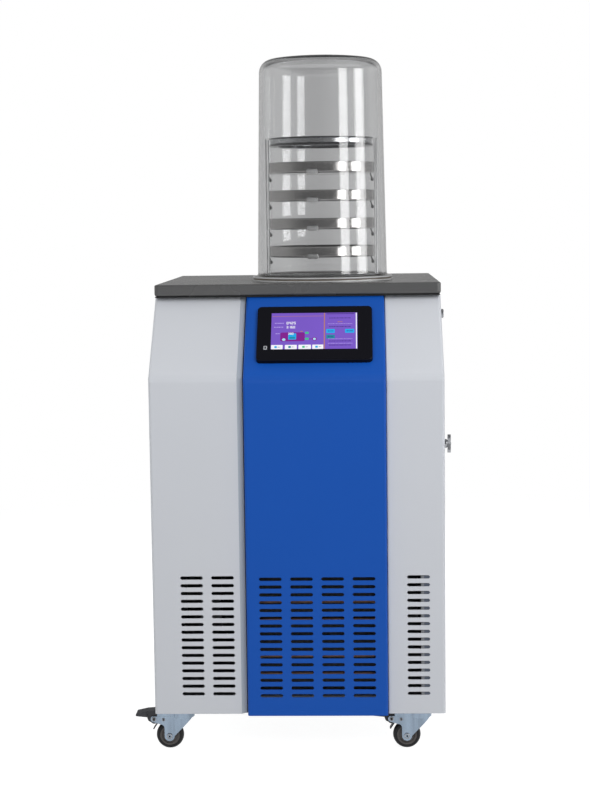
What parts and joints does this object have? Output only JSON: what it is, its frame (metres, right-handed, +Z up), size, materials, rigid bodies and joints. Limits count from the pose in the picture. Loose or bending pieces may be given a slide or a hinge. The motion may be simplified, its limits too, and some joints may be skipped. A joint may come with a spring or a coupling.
{
  "type": "freeze dryer",
  "caption": "Upright freeze dryer on swivel casters: bell jar with stacked trays over a cold trap, sloped touch screen and vented front panels.",
  "frame": {"origin": "on the floor under the middle of the machine", "axes": "+Z up, -Y the front with the screen, +X the side with the valves"},
  "size_m": [0.5885, 0.6637, 1.264],
  "materials": {
    "white_paint": "fine texture, satin",
    "blue_paint": "fine texture, satin",
    "frame_paint": "satin",
    "zinc_sheet": "zinc plated",
    "black_rubber": "matte",
    "grey_worktop": "fine texture, satin",
    "trap_steel": "brushed",
    "copper": "drawn, dull",
    "foam": "matte",
    "valve_metal": "satin",
    "clear_acrylic": "clear, polished",
    "rack_steel": "brushed",
    "tray_steel": "brushed",
    "bezel_plastic": "gloss",
    "screen_glass": "gloss",
    "light_lens": "gloss",
    "fin_aluminium": "plain",
    "black_paint": "semi-gloss",
    "fan_plastic": "moulded",
    "black_plastic": "moulded",
    "caster_zinc": "zinc plated, bluish",
    "tyre_rubber": "matte",
    "hub_plastic": "moulded",
    "pedal_plastic": "moulded"
  },
  "bodies": {
    "cabinet": {"cabinet_frame": "frame_paint", "base_pan": "zinc_sheet", "left_cover": "white_paint", "right_cover": "white_paint", "centre_panel": "blue_paint", "rear_panel": "white_paint", "worktop_gasket": "black_rubber", "worktop": "grey_worktop", "trap_vessel": "trap_steel", "trap_coil": "copper", "trap_insulation": "foam", "vacuum_pipe": "trap_steel", "drain_tube": "copper", "drain_valve_body": "valve_metal", "air_valve_body": "valve_metal", "bell_seal": "black_rubber", "bell_jar": "clear_acrylic", "tray_rack": "rack_steel", "rack_top_plate": "rack_steel", "tray_1": "tray_steel", "tray_2": "tray_steel", "tray_3": "tray_steel", "tray_4": "tray_steel", "display_bezel": "bezel_plastic", "display_screen": "screen_glass", "status_light": "light_lens", "condenser_fins": "fin_aluminium", "condenser_tube": "copper", "fan_shroud": "zinc_sheet", "fan_motor": "black_paint", "compressor": "black_paint", "discharge_line": "copper", "liquid_line": "copper", "suction_line": "copper", "power_inlet": "black_plastic", "caster_plates": "caster_zinc"},
    "drain_handle": {"drain_valve_handle": "valve_metal"},
    "air_knob": {"air_valve_knob": "valve_metal"},
    "fan": {"fan_rotor": "fan_plastic"},
    "rocker": {"rocker_switch": "black_plastic"},
    "fork_front_left": {"fork_front_left": "caster_zinc", "axle_front_left": "caster_zinc"},
    "wheel_front_left": {"hub_front_left": "hub_plastic", "tyre_front_left": "tyre_rubber"},
    "fork_front_right": {"fork_front_right": "caster_zinc", "axle_front_right": "caster_zinc"},
    "wheel_front_right": {"hub_front_right": "hub_plastic", "tyre_front_right": "tyre_rubber"},
    "fork_rear_left": {"fork_rear_left": "caster_zinc", "axle_rear_left": "caster_zinc"},
    "wheel_rear_left": {"hub_rear_left": "hub_plastic", "tyre_rear_left": "tyre_rubber"},
    "fork_rear_right": {"fork_rear_right": "caster_zinc", "axle_rear_right": "caster_zinc"},
    "wheel_rear_right": {"hub_rear_right": "hub_plastic", "tyre_rear_right": "tyre_rubber"},
    "pedal_front_left": {"pedal_front_left": "pedal_plastic"},
    "pedal_front_right": {"pedal_front_right": "pedal_plastic"}
  },
  "joints": [
    {"name": "drain_valve_turn", "type": "hinge", "parent": "cabinet", "child": "drain_handle", "pos_m": [0.28, -0.02, 0.525], "axis": [1, 0, 0], "range_deg": [0, 90]},
    {"name": "air_valve_turn", "type": "hinge", "parent": "cabinet", "child": "air_knob", "pos_m": [0.2653, -0.02, 0.776], "axis": [1, 0, 0], "range_deg": [0, 270]},
    {"name": "fan_spin", "type": "hinge", "parent": "cabinet", "child": "fan", "pos_m": [0.0326, -0.2245, 0.223], "axis": [0, 1, 0], "continuous": true},
    {"name": "rocker_tilt", "type": "hinge", "parent": "cabinet", "child": "rocker", "pos_m": [-0.19, 0.2965, 0.207], "axis": [1, 0, 0], "range_deg": [0, 16]},
    {"name": "swivel_front_left", "type": "hinge", "parent": "cabinet", "child": "fork_front_left", "pos_m": [-0.216, -0.26, 0.06], "axis": [0, 0, 1], "continuous": true},
    {"name": "roll_front_left", "type": "hinge", "parent": "fork_front_left", "child": "wheel_front_left", "pos_m": [-0.24, -0.26, 0.025], "axis": [0, 1, 0], "continuous": true},
    {"name": "swivel_front_right", "type": "hinge", "parent": "cabinet", "child": "fork_front_right", "pos_m": [0.216, -0.26, 0.06], "axis": [0, 0, 1], "continuous": true},
    {"name": "roll_front_right", "type": "hinge", "parent": "fork_front_right", "child": "wheel_front_right", "pos_m": [0.192, -0.26, 0.025], "axis": [0, 1, 0], "continuous": true},
    {"name": "swivel_rear_left", "type": "hinge", "parent": "cabinet", "child": "fork_rear_left", "pos_m": [-0.216, 0.236, 0.06], "axis": [0, 0, 1], "continuous": true},
    {"name": "roll_rear_left", "type": "hinge", "parent": "fork_rear_left", "child": "wheel_rear_left", "pos_m": [-0.24, 0.236, 0.025], "axis": [0, 1, 0], "continuous": true},
    {"name": "swivel_rear_right", "type": "hinge", "parent": "cabinet", "child": "fork_rear_right", "pos_m": [0.216, 0.236, 0.06], "axis": [0, 0, 1], "continuous": true},
    {"name": "roll_rear_right", "type": "hinge", "parent": "fork_rear_right", "child": "wheel_rear_right", "pos_m": [0.192, 0.236, 0.025], "axis": [0, 1, 0], "continuous": true},
    {"name": "brake_front_left", "type": "hinge", "parent": "fork_front_left", "child": "pedal_front_left", "pos_m": [-0.268, -0.26, 0.057], "axis": [0, -1, 0], "range_deg": [0, 14]},
    {"name": "brake_front_right", "type": "hinge", "parent": "fork_front_right", "child": "pedal_front_right", "pos_m": [0.164, -0.26, 0.057], "axis": [0, -1, 0], "range_deg": [0, 14]}
  ]
}
